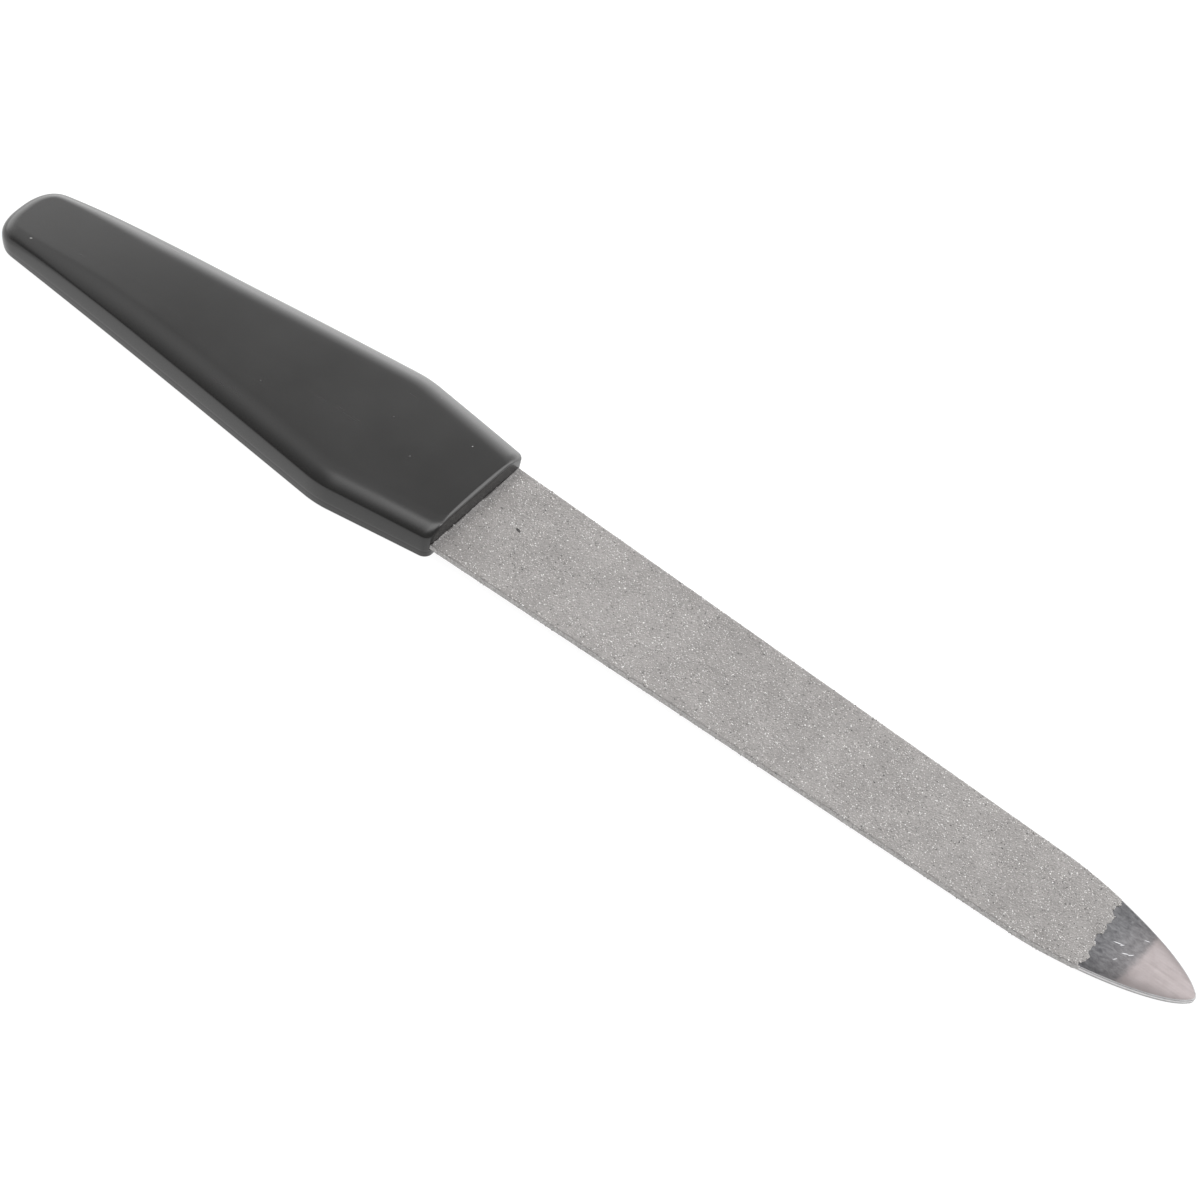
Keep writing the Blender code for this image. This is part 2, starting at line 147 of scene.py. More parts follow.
class Nodes:
    """A material's node tree, with short ways to add and join nodes."""

    def __init__(self, name):
        self.mat = bpy.data.materials.new(name)
        self.mat.use_nodes = True
        self.tree = self.mat.node_tree
        self.shader = self.tree.nodes["Principled BSDF"]
        self.coords = self.tree.nodes.new("ShaderNodeTexCoord")

    def set(self, **values):
        for key, value in values.items():
            self.shader.inputs[key.replace("_", " ")].default_value = value
        return self

    def link(self, a, b):
        self.tree.links.new(a, b)

    def to(self, socket, name):
        self.link(socket, self.shader.inputs[name])

    def mapping(self, scale=(1, 1, 1), turn=(0, 0, 0), move=(0, 0, 0)):
        node = self.tree.nodes.new("ShaderNodeMapping")
        node.inputs["Scale"].default_value = scale
        node.inputs["Rotation"].default_value = turn
        node.inputs["Location"].default_value = move
        self.link(self.coords.outputs["Object"], node.inputs["Vector"])
        return node.outputs["Vector"]

    def noise(self, vector, scale, detail=2.0, rough=0.5, distort=0.0):
        node = self.tree.nodes.new("ShaderNodeTexNoise")
        node.inputs["Scale"].default_value = scale
        node.inputs["Detail"].default_value = detail
        node.inputs["Roughness"].default_value = rough
        node.inputs["Distortion"].default_value = distort
        self.link(vector, node.inputs["Vector"])
        return node.outputs["Fac"]

    def voronoi(self, vector, scale, feature="F1", out="Distance", spread=1.0):
        node = self.tree.nodes.new("ShaderNodeTexVoronoi")
        node.feature = feature
        node.inputs["Scale"].default_value = scale
        node.inputs["Randomness"].default_value = spread
        self.link(vector, node.inputs["Vector"])
        return node.outputs[out]

    def span(self, value, low, high, to_low=0.0, to_high=1.0, smooth=False):
        node = self.tree.nodes.new("ShaderNodeMapRange")
        node.interpolation_type = "SMOOTHSTEP" if smooth else "LINEAR"
        node.clamp = True
        for name, x in (("From Min", low), ("From Max", high), ("To Min", to_low), ("To Max", to_high)):
            node.inputs[name].default_value = x
        self.link(value, node.inputs["Value"])
        return node.outputs["Result"]

    def math(self, operation, a, b=0.0, clamp=False):
        node = self.tree.nodes.new("ShaderNodeMath")
        node.operation = operation
        node.use_clamp = clamp
        for i, x in enumerate((a, b)):
            if isinstance(x, (int, float)):
                node.inputs[i].default_value = x
            else:
                self.link(x, node.inputs[i])
        return node.outputs[0]

    def mix(self, fac, a, b, blend="MIX"):
        node = self.tree.nodes.new("ShaderNodeMix")
        node.data_type = "RGBA"
        node.blend_type = blend
        for name, x in (("Factor", fac), ("A", a), ("B", b)):
            # the colour sockets are the ones of type RGBA, and the factor is the float one
            kind = "VALUE" if name == "Factor" else "RGBA"
            socket = next(s for s in node.inputs if s.name == name and s.type == kind)
            if isinstance(x, (int, float)):
                socket.default_value = x
            elif isinstance(x, tuple):
                socket.default_value = (*x, 1.0)
            else:
                self.link(x, socket)
        return next(s for s in node.outputs if s.type == "RGBA")

    def axis(self, name):
        node = self.tree.nodes.new("ShaderNodeSeparateXYZ")
        self.link(self.coords.outputs["Object"], node.inputs[0])
        return node.outputs[name]

    def near(self, point, radius, soft=0.5):
        """1 within a radius of a point of the object, falling to 0 outside."""
        node = self.tree.nodes.new("ShaderNodeVectorMath")
        node.operation = "DISTANCE"
        node.inputs[1].default_value = point
        self.link(self.coords.outputs["Object"], node.inputs[0])
        return self.span(node.outputs["Value"], radius * soft, radius, 1.0, 0.0, smooth=True)

    def spot(self, x, y, length, width, turn=0.0):
        """1 within an oval seen from above, falling to 0 at its rim; all in mm."""
        node = self.tree.nodes.new("ShaderNodeMapping")
        node.vector_type = "TEXTURE"
        node.inputs["Location"].default_value = (x * MM, y * MM, 0)
        node.inputs["Rotation"].default_value = (0, 0, math.radians(turn))
        node.inputs["Scale"].default_value = (length / 2 * MM, width / 2 * MM, 1.0)
        self.link(self.coords.outputs["Object"], node.inputs["Vector"])
        size = self.tree.nodes.new("ShaderNodeVectorMath")
        size.operation = "LENGTH"
        self.link(node.outputs["Vector"], size.inputs[0])
        return self.span(size.outputs["Value"], 0.55, 1.0, 1.0, 0.0, smooth=True)

    def spots(self, places):
        total = None
        for place in places:
            one = self.spot(*place)
            total = one if total is None else self.math("MAXIMUM", total, one)
        return total

    def bump(self, height, distance, strength=1.0):
        node = self.tree.nodes.new("ShaderNodeBump")
        node.inputs["Strength"].default_value = strength
        node.inputs["Distance"].default_value = distance
        self.link(height, node.inputs["Height"])
        self.to(node.outputs["Normal"], "Normal")


# -------------------------------------------------------------------- handle
def side_slope():
    return (SHOULDER_HALF - BUTT_HALF) / (SHOULDER_AT - 8.0)


def side_line(x):
    swell = BULGE * max(0.0, 1 - x / BULGE_LENGTH) ** 2
    return BUTT_HALF + side_slope() * (x - 8.0) + swell


def butt_point(q):
    x = BUTT_DEPTH * (1 - math.cos(q) ** (2 / BUTT_POWER))
    return x, side_line(x) * math.sin(q) ** (2 / BUTT_POWER)


def ease(t):
    t = min(max(t, 0.0), 1.0)
    return t * t * (3 - 2 * t)


def roll(x):
    radius = BUTT_RADIUS + (PILLOW_RADIUS - BUTT_RADIUS) * ease(x / BUTT_RADIUS_TO)
    along = (x - BUTT_TILT_TO) / (ROLL_FULL_AT - BUTT_TILT_TO)
    tilt = BUTT_TILT + (PILLOW_TILT - BUTT_TILT) * ease(along)
    return radius, math.radians(tilt)


def corner_radius(x):
    return CORNER_RADIUS + (BUTT_CORNER - CORNER_RADIUS) * max(0.0, 1 - x / BUTT_CORNER_TO) ** 2


def corner_ring(step):
    def inset(x):
        tilt = roll(x)[1]
        return corner_radius(x) * (1 - math.sin(tilt + (math.pi / 2 - tilt) * step))

    def drop(x):
        radius, tilt = roll(x)
        a = tilt + (math.pi / 2 - tilt) * step
        return radius * (1 - math.cos(tilt)) + corner_radius(x) * (math.cos(tilt) - math.cos(a))
    return inset, drop


def roll_ring(step):
    def inset(x):
        radius, tilt = roll(x)
        return corner_radius(x) * (1 - math.sin(tilt)) + radius * (math.sin(tilt) - math.sin(tilt * step))

    def drop(x):
        radius, tilt = roll(x)
        return radius * (1 - math.cos(tilt * step))
    return inset, drop


def front_inset(drop):
    up = max(FRONT_RADIUS - drop, 0.0)
    return FRONT_RADIUS - math.sqrt(FRONT_RADIUS ** 2 - up ** 2)


def half_ring(plain_inset, front, fine=4):
    """Half of the handle's plan outline, as (x, y, station)."""
    def inset(x):
        return plain_inset(x) + SKIN

    front += SKIN
    slope = side_slope()
    lean = math.atan(slope)
    fall = math.atan((SHOULDER_HALF - MOUTH_HALF) / (HANDLE_LENGTH - SHOULDER_AT))
    ring = []
    count = 12 * fine
    step = 0.0002
    for i in range(count):
        q = math.pi / 2 * (i + 0.5) / count
        x, y = butt_point(q)
        x2, y2 = butt_point(q + step)
        size = math.hypot(x2 - x, y2 - y)
        ring.append((x + (y2 - y) / size * inset(x), y - (x2 - x) / size * inset(x), x))
    start = BUTT_DEPTH + 0.1
    parts = 14 * fine
    for i in range(parts + 1):
        x = start + (BULGE_LENGTH - start) * i / parts
        ring.append((x + math.sin(lean) * inset(x), side_line(x) - math.cos(lean) * inset(x), x))
    turn = lean + fall
    normal = math.pi / 2 + lean
    back = SHOULDER_RADIUS * math.tan(turn / 2)
    cx = SHOULDER_AT - back * math.cos(lean) + SHOULDER_RADIUS * math.sin(lean)
    cy = SHOULDER_HALF - back * math.sin(lean) - SHOULDER_RADIUS * math.cos(lean)
    bend = arc(cx, cy, SHOULDER_RADIUS - inset(SHOULDER_AT), normal, normal - turn, 6 * fine)
    ring += [(x, y, x) for x, y in between(ring[-1], bend[0], 10 * fine) + bend]
    face = HANDLE_LENGTH - front
    ccx = face - MOUTH_RADIUS
    ccy = ring[-1][1] - (ccx - ring[-1][0]) * math.tan(fall) - MOUTH_RADIUS / math.cos(fall)
    corner = arc(ccx, ccy, MOUTH_RADIUS, math.pi / 2 - fall, 0.0, 3 * fine)
    ring += [(x, y, x) for x, y in between(ring[-1], corner[0], 7 * fine) + corner]
    return ring


def crown(x, y):
    reach = max(HANDLE_CROWN_AT, HANDLE_LENGTH - HANDLE_CROWN_AT)
    height = HANDLE_THICK - SKIN - HANDLE_CROWN * ((x - HANDLE_CROWN_AT) / reach) ** 2
    height -= CROSS_CROWN * (y / SHOULDER_HALF) ** 2
    return height - BUTT_FALL * max(0.0, 1 - x / BUTT_FALL_LENGTH) ** 2


def skew(x, y):
    return MOUTH_SKEW * y * ease((x - SHOULDER_AT) / (HANDLE_LENGTH - SHOULDER_AT))


def top_height(x, y):
    before = x
    for _ in range(5):
        before = x - skew(before, y)
    return crown(before, y)


def side_height(x):
    return crown(x, min(side_line(x), SHOULDER_HALF)) - corner_ring(1.0)[1](x)


def handle_rings():
    halves = []
    for i in range(7):
        a = math.radians(90 * i / 6)
        inset = SOLE_RADIUS * (1 - math.sin(a))
        halves.append([(x, y, SOLE_RADIUS * (1 - math.cos(a)))
                       for x, y, s in half_ring(lambda s: BARREL + inset, inset)])
    # the side, with a witness line of the mould: a thin groove above the bottom edge
    for step, groove in ((0.1, 0.0), (0.2, 0.0), (0.26, 0.0), (0.275, 0.007), (0.29, 0.007), (0.305, 0.0),
                         (0.4, 0.0), (0.55, 0.0), (0.7, 0.0), (0.85, 0.0)):
        halves.append([(x, y, SOLE_RADIUS + step * (side_height(s) - SOLE_RADIUS))
                       for x, y, s in half_ring(lambda s: BARREL * (1 - step) ** 2 + groove, groove)])
    levels = [corner_ring(1 - i / 6) for i in range(6)] + [roll_ring(1 - i / 14) for i in range(15)]
    for inset, drop in levels:
        front = front_inset(drop(ROLL_FULL_AT))
        halves.append([(x, y, crown(x, y) - drop(s)) for x, y, s in half_ring(inset, front)])
    rings = [half + [(x, -y, z) for x, y, z in reversed(half)] for half in halves]
    return [[(x + skew(x, y), y, z) for x, y, z in ring] for ring in rings]


def strips(bm, ring, parts, height):
    """Closes a ring with strips across it, each cut into parts."""
    count = len(ring)
    rows = []
    for i in range(count // 2):
        a, b = ring[i], ring[count - 1 - i]
        row = [a]
        for k in range(1, parts):
            co = a.co.lerp(b.co, k / parts)
            co.z = height(co) * MM
            row.append(bm.verts.new(co))
        row.append(b)
        rows.append(row)
    for a, b in zip(rows, rows[1:]):
        for k in range(parts):
            bm.faces.new((a[k], b[k], b[k + 1], a[k + 1]))
    return rows


def make_handle(mat):
    bm = bmesh.new()
    rings = [[bm.verts.new((x * MM, y * MM, z * MM)) for x, y, z in ring] for ring in handle_rings()]
    count = len(rings[0])
    parts = 18
    low = strips(bm, rings[0], parts, lambda co: 0.0)
    high = strips(bm, rings[-1], parts, lambda co: top_height(co.x / MM, co.y / MM))
    ends = [[], []]
    for a, b in zip(rings, rings[1:]):
        for i in range(count):
            j = (i + 1) % count
            if i == count // 2 - 1 or i == count - 1:
                continue
            bm.faces.new((a[i], a[j], b[j], b[i]))
    # the butt's last strip and the mouth's face span the full row of points
    for which in (0, -1):
        columns = []
        for r, ring in enumerate(rings):
            if r == 0:
                columns.append(low[which])
            elif r == len(rings) - 1:
                columns.append(high[which])
            else:
                a, b = (ring[0], ring[-1]) if which == 0 else (ring[count // 2 - 1], ring[count // 2])
                columns.append([a] + [bm.verts.new(a.co.lerp(b.co, k / parts)) for k in range(1, parts)] + [b])
        for a, b in zip(columns, columns[1:]):
            for k in range(parts):
                bm.faces.new((a[k], a[k + 1], b[k + 1], b[k]))
    bmesh.ops.translate(bm, vec=Vector((-ORIGIN_X * MM, 0, 0)), verts=bm.verts)
    bmesh.ops.recalc_face_normals(bm, faces=bm.faces)
    ob = new_object("grip", bm, [mat], smooth_to=60)
    for label, tool, operation in (("socket", socket_cutter(), "DIFFERENCE"), ("peg", peg(), "UNION")):
        mod = ob.modifiers.new(label, "BOOLEAN")
        mod.operation = operation
        mod.solver = "EXACT"
        mod.object = tool
        apply_first(ob)
        bpy.data.objects.remove(tool, do_unlink=True)
    ob.data.set_sharp_from_angle(angle=math.radians(60))
    return ob


def apply_first(ob):
    """Replaces an object's mesh by the one that its modifiers make."""
    graph = bpy.context.evaluated_depsgraph_get()
    mesh = bpy.data.meshes.new_from_object(ob.evaluated_get(graph), depsgraph=graph)
    ob.modifiers.clear()
    ob.data = mesh


# --------------------------------------------------------------------- blade
def tip_station():
    turn = math.cos(BLADE_TURN) * math.cos(BLADE_DIP)
    return BLADE_TURN_AT + (LENGTH - BLADE_TURN_AT - TIP_RADIUS) / turn + TIP_RADIUS - 0.004


TIP = tip_station()


def blade_half(x):
    """Half width of the visible blade at a station."""
    if x <= POINT_AT:
        slope = (BLADE_END_HALF - BLADE_MOUTH_HALF) / (POINT_AT - HANDLE_LENGTH)
        return BLADE_MOUTH_HALF + slope * (x - HANDLE_LENGTH)
    t = min((x - POINT_AT) / (TIP - POINT_AT), 1.0)
    width = BLADE_END_HALF * (1 - t ** POINT_POWER) ** POINT_ROUND
    from_centre = x - (TIP - TIP_RADIUS)
    if abs(from_centre) < TIP_RADIUS:
        width = max(width, math.sqrt(max(TIP_RADIUS ** 2 - from_centre ** 2, 0.0)))
    return width


def tang_outline(grow):
    end_x = TANG_END_X - grow
    r = TANG_RADIUS + grow
    end_half = TANG_END_HALF + grow
    pts = arc(end_x + r, end_half - r, r, math.pi, math.pi / 2, 10)
    pts.append((SHOULDER_X - grow - 1.0, TANG_ROOT_HALF + grow))
    pts.append((SHOULDER_X - grow, TANG_ROOT_HALF + grow + 0.9))
    return pts


def local_plate(outline, low, high):
    """A closed flat plate about the blade's own middle plane, as a bmesh in place."""
    bm = bmesh.new()
    rings = [[bm.verts.new(((x - BLADE_TURN_AT) * MM, y * MM, z * MM)) for x, y in outline] for z in (low, high)]
    bm.faces.new(list(reversed(rings[0])))
    bm.faces.new(rings[1])
    count = len(outline)
    for i in range(count):
        j = (i + 1) % count
        bm.faces.new((rings[0][i], rings[0][j], rings[1][j], rings[1][i]))
    bm.transform(BLADE_MATRIX)
    bmesh.ops.recalc_face_normals(bm, faces=bm.faces)
    return bm


def closed(half):
    return half + [(x, -y) for x, y in reversed(half) if y > 1e-9]


def socket_cutter():
    half = tang_outline(SOCKET_GAP)
    half += [(x, blade_half(x) + 0.03) for x in (SHOULDER_X - SOCKET_GAP, HANDLE_LENGTH + 4.0)]
    reach = BLADE_THICK / 2 + BOND + COAT_THICK + 0.01
    bm = local_plate(closed(half), -reach, reach)
    return new_object("tool_socket", bm, [])


def peg():
    bm = bmesh.new()
    bmesh.ops.create_cone(bm, cap_ends=True, segments=40, radius1=(TANG_HOLE_RADIUS - 0.12) * MM,
                          radius2=(TANG_HOLE_RADIUS - 0.12) * MM, depth=2.2 * MM)
    bm.transform(BLADE_MATRIX @ Matrix.Translation(((TANG_HOLE_AT - BLADE_TURN_AT) * MM, 0, 0)))
    return new_object("tool_peg", bm, [])


def blade_outline():
    """Half outline of the whole steel strip, finely stepped, tang end to tip."""
    half = tang_outline(0.0)
    corner = blade_half(SHOULDER_X)
    half.append((SHOULDER_X, corner - 0.6))
    half += arc(SHOULDER_X + 0.6, corner - 0.6, 0.6, math.pi, math.pi / 2, 6)[1:]
    start = SHOULDER_X + 0.6
    for i in range(1, 101):
        x = start + (POINT_AT - start) * i / 100
        half.append((x, blade_half(x)))
    last = TIP - TIP_RADIUS
    for i in range(1, 49):
        x = POINT_AT + (last - POINT_AT) * i / 48
        half.append((x, blade_half(x)))
    for i in range(1, 17):
        a = math.pi / 2 * (1 - i / 16)
        x = TIP - TIP_RADIUS + TIP_RADIUS * math.cos(a)
        half.append((x, blade_half(x) if i < 16 else 0.0))
    return half


def make_blade(mat, edge_mat, coated_mat, bevel_mat):
    """The steel strip: sheared edges, lightly broken all round."""
    outline = closed(blade_outline())
    count = len(outline)
    pts = np.array(outline)
    ahead, behind = np.roll(pts, -1, 0), np.roll(pts, 1, 0)
    along = ahead - behind
    along /= np.linalg.norm(along, axis=1)[:, None]
    inward = np.stack([along[:, 1], -along[:, 0]], 1)   # the outline runs clockwise
    centre_side = np.sign(((pts.mean(0) - pts) * inward).sum(1))
    half = BLADE_THICK / 2
    # broken edge above and below an upright sheared face, wider at the bare point
    bare = np.array([ease((x - BEVEL_FROM) / 1.2) for x in pts[:, 0]])
    levels = ((0.085, 0.0, 0.05, 0.0), (0.03, 0.02, 0.0, 0.02), (0.0, 0.075, 0.0, 0.02),
              (0.0, 2 * half - 0.06, 0.0, 0.0), (0.025, 2 * half - 0.015, 0.0, 0.0), (0.07, 2 * half, 0.0, 0.0))
    bm = bmesh.new()
    rings = []
    for inset, down, more_inset, more_down in levels:
        moved = pts + inward * (inset + more_inset * bare)[:, None]
        zs = half - down - more_down * bare
        # drawn in towards the middle line, never across it
        rings.append([bm.verts.new(((x - BLADE_TURN_AT) * MM, y * MM, z * MM)) for (x, y), z in zip(moved, zs)])
    bm.faces.new(rings[0])
    bm.faces.new(list(reversed(rings[-1])))
    for a, b in zip(rings, rings[1:]):
        for i in range(count):
            j = (i + 1) % count
            bm.faces.new((a[i], a[j], b[j], b[i]))
    bm.transform(BLADE_MATRIX)
    bmesh.ops.recalc_face_normals(bm, faces=bm.faces)
    ob = new_object("steel_strip", bm, [mat])
    hole = bmesh.new()
    bmesh.ops.create_cone(hole, cap_ends=True, segments=48, radius1=TANG_HOLE_RADIUS * MM,
                          radius2=TANG_HOLE_RADIUS * MM, depth=3 * MM)
    hole.transform(BLADE_MATRIX @ Matrix.Translation(((TANG_HOLE_AT - BLADE_TURN_AT) * MM, 0, 0)))
    tool = new_object("tool_hole", hole, [])
    mod = ob.modifiers.new("hole", "BOOLEAN")
    mod.operation = "DIFFERENCE"
    mod.solver = "EXACT"
    mod.object = tool
    apply_first(ob)
    bpy.data.objects.remove(tool, do_unlink=True)
    ob.data.shade_smooth()
    ob.data.set_sharp_from_angle(angle=math.radians(28))
    # the sheared faces are rougher and darker than the ground ones
    ob.data.materials.append(edge_mat)
    ob.data.materials.append(coated_mat)
    ob.data.materials.append(bevel_mat)
    up = BLADE_MATRIX.to_3x3() @ Vector((0, 0, 1))
    for poly in ob.data.polygons:
        station = poly.center.x / MM + ORIGIN_X
        if HANDLE_LENGTH - 2 < station < COAT_END - COAT_SKEW * poly.center.y / MM:
            if abs(poly.normal.dot(up)) < 0.99:
                poly.material_index = 2     # binder and dust that ran over the edge
        elif abs(poly.normal.dot(up)) < 0.3:
            poly.material_index = 1
        elif station > COAT_END - 1 and 0.3 <= poly.normal.dot(up) < 0.9995:
            poly.material_index = 3
    return ob


# ------------------------------------------------------------------ abrasive
def ragged(y, phase):
    """Station where the coating stops, at a distance from the centre line."""
    wave = np.sin(3.1 * y + phase) * 0.4 + np.sin(7.3 * y + 2.1 * phase) * 0.2
    wave = wave + np.sin(1.3 * y - phase) * 0.4 + np.sin(17.0 * y + phase) * 0.06
    return COAT_END - COAT_SKEW * y + COAT_RAGGED * wave


def climb(x, y):
    """How much higher the coating stands at the foot of the handle's face."""
    past = (x - HANDLE_LENGTH - (MOUTH_SKEW + BLADE_TURN) * y) / 0.55
    wave = 0.65 + 0.35 * np.sin(4.1 * y + 0.6) * np.sin(1.7 * y)
    return np.where(past > -0.03, FILLET * wave * np.clip(1 - past, 0, 1) ** 2, 0.0)


def half_widths(x):
    return np.array([blade_half(v) for v in np.atleast_1d(x)])


def make_bed(name, mat, side, phase):
    """The binder: a thin sheet with a ragged front edge and an uneven top."""
    rng = np.random.default_rng(5 + int(10 * phase))
    across = 96
    along = 430
    ys = np.linspace(-1, 1, across + 1)
    bm = bmesh.new()
    top, low = [], []
    for i in range(along + 1):
        t = i / along
        row_t, row_l = [], []
        for s in ys:
            x_end = ragged(s * (BLADE_END_HALF * 0.86), phase)
            x = COAT_START + (x_end - COAT_START) * t
            w = blade_half(x) - COAT_INSET
            y = s * w
            lift = BED_THICK + 0.012 * math.sin(2.3 * x + 1.7 * y) * math.sin(1.9 * y - 0.8 * x)
            lift += 0.010 * rng.standard_normal() + float(climb(x, y))
            rim = abs(s) == 1 or i in (0, along)
            if rim:
                lift = BED_THICK * 0.45
            z = side * (BLADE_THICK / 2 + BOND + max(lift, 0.02))
            base = side * (BLADE_THICK / 2 + BOND)
            row_t.append(bm.verts.new(((x - BLADE_TURN_AT) * MM, y * MM, z * MM)))
            row_l.append(bm.verts.new(((x - BLADE_TURN_AT) * MM, y * MM, base * MM)) if rim else None)
        top.append(row_t)
        low.append(row_l)
    for i in range(along):
        for k in range(across):
            bm.faces.new((top[i][k], top[i + 1][k], top[i + 1][k + 1], top[i][k + 1]))
    loop = [(0, k) for k in range(across + 1)] + [(i, across) for i in range(1, along + 1)]
    loop += [(along, k) for k in range(across - 1, -1, -1)] + [(i, 0) for i in range(along - 1, 0, -1)]
    for a, b in zip(loop, loop[1:] + loop[:1]):
        bm.faces.new((top[a[0]][a[1]], top[b[0]][b[1]], low[b[0]][b[1]], low[a[0]][a[1]]))
    # the underside, in strips from edge to edge
    for i in range(along):
        a, b = low[i], low[i + 1]
        if i == 0:
            bm.faces.new([v for v in a] + [b[-1], b[0]])
        elif i == along - 1:
            bm.faces.new([a[0], a[-1]] + [v for v in reversed(b)])
        else:
            bm.faces.new((a[0], a[-1], b[-1], b[0]))
    bm.transform(BLADE_MATRIX)
    bmesh.ops.recalc_face_normals(bm, faces=bm.faces)
    ob = new_object(name, bm, [mat])
    flat_map(ob)
    return ob


def flat_map(ob):
    """A map for baking that looks straight down on the sheet."""
    mesh = ob.data
    layer = mesh.uv_layers.new(name="OFBake")
    count = len(mesh.loops)
    index = np.zeros(count, np.int32)
    mesh.loops.foreach_get("vertex_index", index)
    co = np.zeros(len(mesh.vertices) * 3, np.float32)
    mesh.vertices.foreach_get("co", co)
    co = co.reshape(-1, 3)[index]
    x0, y0 = (COAT_START - 1 - ORIGIN_X) * MM, -0.0095
    size = 0.082
    uv = np.stack([(co[:, 0] - x0) / size, (co[:, 1] - y0) / size + 0.02], 1)
    layer.data.foreach_set("uv", uv.astype(np.float32).ravel())


def make_crystals(name, mat, side, phase, count=21000, seed=3):
    """Crushed grains: irregular pointed solids, each half sunk in the bed."""
    rng = np.random.default_rng(seed)
    # a jittered grid gives an even but unordered spread
    pitch = GRAIN_PITCH
    xs = np.arange(COAT_START, COAT_END + 1.0, pitch)
    ys = np.arange(-7.7, 7.7, pitch * 0.9)
    gx, gy = np.meshgrid(xs, ys, indexing="ij")
    gx = gx + (np.arange(len(ys)) % 2)[None, :] * pitch / 2
    gx = (gx + rng.uniform(-0.48, 0.48, gx.shape) * pitch).ravel()
    gy = (gy + rng.uniform(-0.48, 0.48, gy.shape) * pitch).ravel()
    size = np.clip(rng.lognormal(math.log(GRAIN_SIZE), 0.24, gx.size), 0.055, 0.16)   # half width
    # clusters and thin places, as scattered grit has
    patch = (np.sin(1.1 * gx + 0.7 * gy) * np.sin(0.9 * gy - 0.6 * gx + 1.0)
             + 0.7 * np.sin(3.7 * gx - 2.9 * gy) * np.sin(4.3 * gy + 1.9 * gx))
    keep = rng.random(gx.size) < 0.86 + 0.12 * patch
    keep &= np.abs(gy) < half_widths(gx) - 0.01 - size * 0.3
    keep &= gx < ragged(gy, phase) - size * 0.4 + rng.normal(0, 0.06, gx.size)
    keep &= gx > COAT_START + 0.1
    gx, gy, size = gx[keep], gy[keep], size[keep]
    n = gx.size
    # an irregular octahedron: six points at uneven reaches, turned at random
    base = np.array([(1, 0, 0), (-1, 0, 0), (0, 1, 0), (0, -1, 0), (0, 0, 1), (0, 0, -1)], float)
    pts = base[None] * rng.uniform(0.62, 1.15, (n, 6, 1)) + rng.normal(0, 0.16, (n, 6, 3))
    q = rng.normal(size=(n, 4))
    q /= np.linalg.norm(q, axis=1)[:, None]
    w, x, y, z = q.T
    turn = np.stack([1 - 2 * (y * y + z * z), 2 * (x * y - z * w), 2 * (x * z + y * w),
                     2 * (x * y + z * w), 1 - 2 * (x * x + z * z), 2 * (y * z - x * w),
                     2 * (x * z - y * w), 2 * (y * z + x * w), 1 - 2 * (x * x + y * y)], 1).reshape(n, 3, 3)
    pts = np.einsum("nij,nkj->nki", turn, pts) * size[:, None, None]
    top = pts[:, :, 2].max(1)
    # each one's highest point is set, and its foot is cut off just over the steel
    reach = BLADE_THICK / 2 + BOND + BED_THICK + rng.uniform(0.25, 1.0, n) * (COAT_THICK - BED_THICK)
    reach = reach + climb(gx, gy)
    pts[:, :, 2] += (reach - top)[:, None]
    floor_z = BLADE_THICK / 2 + BOND + 0.004
    pts[:, :, 2] = np.maximum(pts[:, :, 2], floor_z + rng.uniform(0, 0.004, (n, 6)))
    pts[:, :, 0] += (gx - BLADE_TURN_AT)[:, None]
    pts[:, :, 1] += gy[:, None]
    if side < 0:
        pts[:, :, 2] *= -1
    else:
        # some sit on the strip's edges too
        ex = np.arange(COAT_START + 1.4, COAT_END - 1.0, 0.11)
        ex = np.concatenate([ex, ex + 0.05])
        ex = ex + rng.uniform(-0.05, 0.05, ex.size)
        edge = np.where(np.arange(ex.size) < ex.size // 2, -1.0, 1.0)
        some = pts[rng.integers(0, n, ex.size)]
        some = (some - some.mean(1, keepdims=True)) * rng.uniform(0.55, 0.85, (ex.size, 1, 1))
        some[:, :, 0] += (ex - BLADE_TURN_AT)[:, None]
        some[:, :, 1] += (edge * (half_widths(ex) - 0.015))[:, None]
        some[:, :, 2] += rng.uniform(-0.22, 0.26, ex.size)[:, None]
        pts = np.concatenate([pts, some])
        n = len(pts)
    faces = np.array([(0, 2, 4), (2, 1, 4), (1, 3, 4), (3, 0, 4), (2, 0, 5), (1, 2, 5), (3, 1, 5), (0, 3, 5)])
    if side < 0:
        faces = faces[:, ::-1]
    verts = pts.reshape(-1, 3) * MM
    m = np.array(BLADE_MATRIX)
    verts = verts @ m[:3, :3].T + m[:3, 3]
    tris = (faces[None] + 6 * np.arange(n)[:, None, None]).reshape(-1, 3)
    mesh = bpy.data.meshes.new(name)
    mesh.vertices.add(len(verts))
    mesh.vertices.foreach_set("co", verts.astype(np.float32).ravel())
    mesh.loops.add(tris.size)
    mesh.loops.foreach_set("vertex_index", tris.astype(np.int32).ravel())
    mesh.polygons.add(len(tris))
    mesh.polygons.foreach_set("loop_start", np.arange(0, tris.size, 3, dtype=np.int32))
    mesh.update(calc_edges=True)
    mesh.validate()
    tone = np.repeat(rng.random(n), 6)
    attribute = mesh.attributes.new("grain", "FLOAT", "POINT")
    attribute.data.foreach_set("value", tone.astype(np.float32))
    ob = bpy.data.objects.new(name, mesh)
    bpy.context.scene.collection.objects.link(ob)
    mesh.materials.append(mat)
    flat_map(ob)
    print(name, n, "grains", len(tris), "faces")
    return ob


